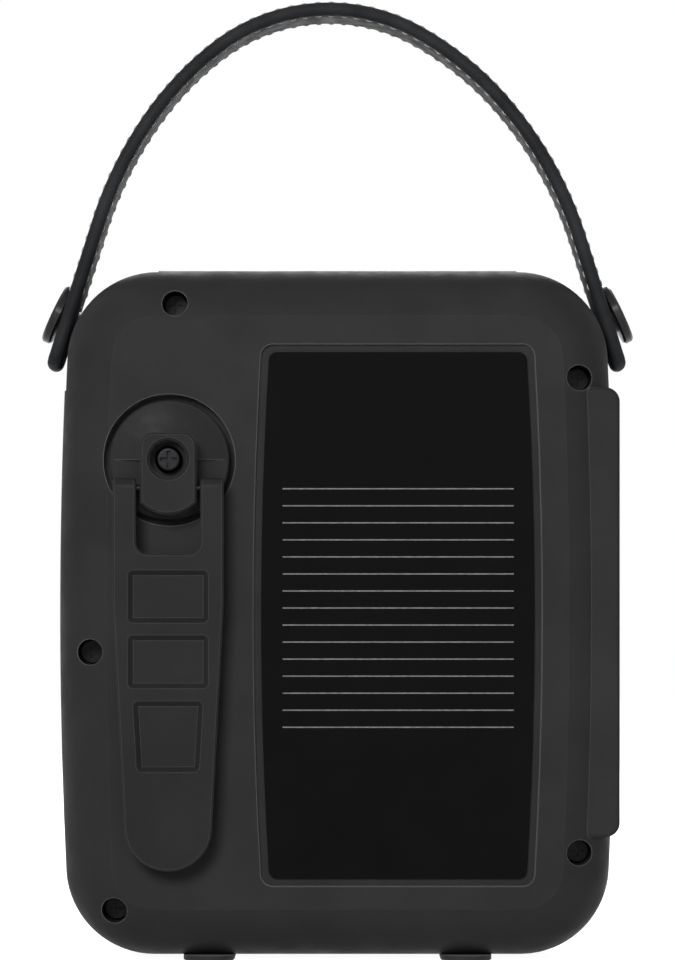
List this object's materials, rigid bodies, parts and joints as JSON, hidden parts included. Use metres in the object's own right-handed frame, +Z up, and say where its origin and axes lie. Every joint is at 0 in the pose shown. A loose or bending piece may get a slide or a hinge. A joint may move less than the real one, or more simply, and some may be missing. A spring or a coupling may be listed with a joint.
{
  "type": "hand crank phone charger",
  "caption": "Power bank with a folding hand crank on its rear, a gear driven generator, USB sockets behind a side cover, a lamp, a torch and a stitched carry strap.",
  "frame": {"origin": "middle of the object's box, from the crank arm's outer face to the lamp, at the soles of the two feet", "axes": "+X to the right seen from the rear (crank) side, +Y out of the lamp face, +Z up"},
  "size_m": [0.1266, 0.057, 0.2034],
  "materials": {
    "shell": "fine grained charcoal",
    "label": "smooth black",
    "rubber": "soft black",
    "steel_dark": "black oxide",
    "steel": "plain",
    "brass": "satin",
    "crank_plastic": "fine grained",
    "gear_nylon": "natural nylon",
    "inner_plastic": "plain black",
    "cell_wrap": "silver grey foil",
    "board_green": "solder mask",
    "socket_steel": "bright",
    "blue_plastic": "blue",
    "black_plastic": "black",
    "lens_white": "opal",
    "led": "phosphor yellow",
    "clear_lens": "clear",
    "mirror": "bright",
    "button_rubber": "matte",
    "stud_metal": "dark",
    "cap_metal": "satin black",
    "leather": "dark grey, stitched"
  },
  "bodies": {
    "case": {"rear_shell": "shell", "front_shell": "shell", "label_plate": "label", "feet": "rubber", "battery_pad": "rubber", "case_screws": "steel_dark", "cover_pin": "steel_dark", "gearbox_screws": "steel_dark", "board_screws": "steel_dark", "idler_axle": "steel", "generator_housing": "steel", "crank_bush": "brass", "gearbox_plate": "inner_plastic", "battery_cells": "cell_wrap", "main_board": "board_green", "led_board": "board_green", "button_board": "board_green", "usb_a_sockets": "socket_steel", "usb_c_sockets": "socket_steel", "usb_a_tongue_fast": "blue_plastic", "usb_a_tongue": "black_plastic", "usb_c_tongues": "black_plastic", "lamp_diffuser": "lens_white", "lamp_leds": "led", "torch_led": "led", "torch_lens": "clear_lens", "indicator_window": "clear_lens", "torch_reflector": "mirror", "strap_studs": "stud_metal"},
    "crank": {"crank_disc": "crank_plastic", "crank_shaft": "steel", "crank_screw": "steel_dark", "crank_gear": "gear_nylon"},
    "arm": {"crank_arm": "crank_plastic", "arm_pin": "steel_dark", "grip_pin": "steel_dark"},
    "grip": {"grip_post": "crank_plastic"},
    "sleeve": {"grip_sleeve": "crank_plastic"},
    "idler": {"idler_gear": "gear_nylon"},
    "rotor": {"generator_rotor": "gear_nylon"},
    "cover": {"port_cover": "rubber"},
    "carry_strap": {"strap": "leather", "strap_buttons": "cap_metal"},
    "power": {"power_button": "button_rubber"},
    "light": {"light_button": "button_rubber"}
  },
  "joints": [
    {"name": "crank_spin", "type": "hinge", "parent": "case", "child": "crank", "pos_m": [-0.0352, -0.0205, 0.1055], "axis": [0, -1, 0], "continuous": true},
    {"name": "arm_fold", "type": "hinge", "parent": "crank", "child": "arm", "pos_m": [-0.0352, -0.0264, 0.0995], "axis": [-1, 0, 0], "range_deg": [0, 180]},
    {"name": "grip_fold", "type": "hinge", "parent": "arm", "child": "grip", "pos_m": [-0.0352, -0.0236, 0.0275], "axis": [-1, 0, 0], "range_deg": [0, 90]},
    {"name": "grip_spin", "type": "hinge", "parent": "grip", "child": "sleeve", "pos_m": [-0.0352, -0.0236, 0.0275], "axis": [0, 0, 1], "continuous": true},
    {"name": "idler_spin", "type": "hinge", "parent": "case", "child": "idler", "pos_m": [-0.0352, -0.0139, 0.0847], "axis": [0, -1, 0], "continuous": true},
    {"name": "rotor_spin", "type": "hinge", "parent": "case", "child": "rotor", "pos_m": [-0.0352, -0.0139, 0.0691], "axis": [0, -1, 0], "continuous": true},
    {"name": "strap_swing", "type": "hinge", "parent": "case", "child": "carry_strap", "pos_m": [0, 0.0035, 0.1363], "axis": [1, 0, 0], "range_deg": [-30, 30]},
    {"name": "cover_open", "type": "hinge", "parent": "case", "child": "cover", "pos_m": [0.05825, 0.01735, 0.076], "axis": [0, 0, 1], "range_deg": [0, 90]},
    {"name": "power_press", "type": "slide", "parent": "case", "child": "power", "axis": [0, -1, 0], "range_m": [0, 0.0008], "stiffness_N_per_m": 500},
    {"name": "light_press", "type": "slide", "parent": "case", "child": "light", "axis": [0, -1, 0], "range_m": [0, 0.0008], "stiffness_N_per_m": 500}
  ],
  "couplings": [
    {"joint": "grip_fold", "follows": "arm_fold", "ratio": 0.5},
    {"joint": "idler_spin", "follows": "crank_spin", "ratio": -3.3333},
    {"joint": "rotor_spin", "follows": "crank_spin", "ratio": 11.111}
  ]
}
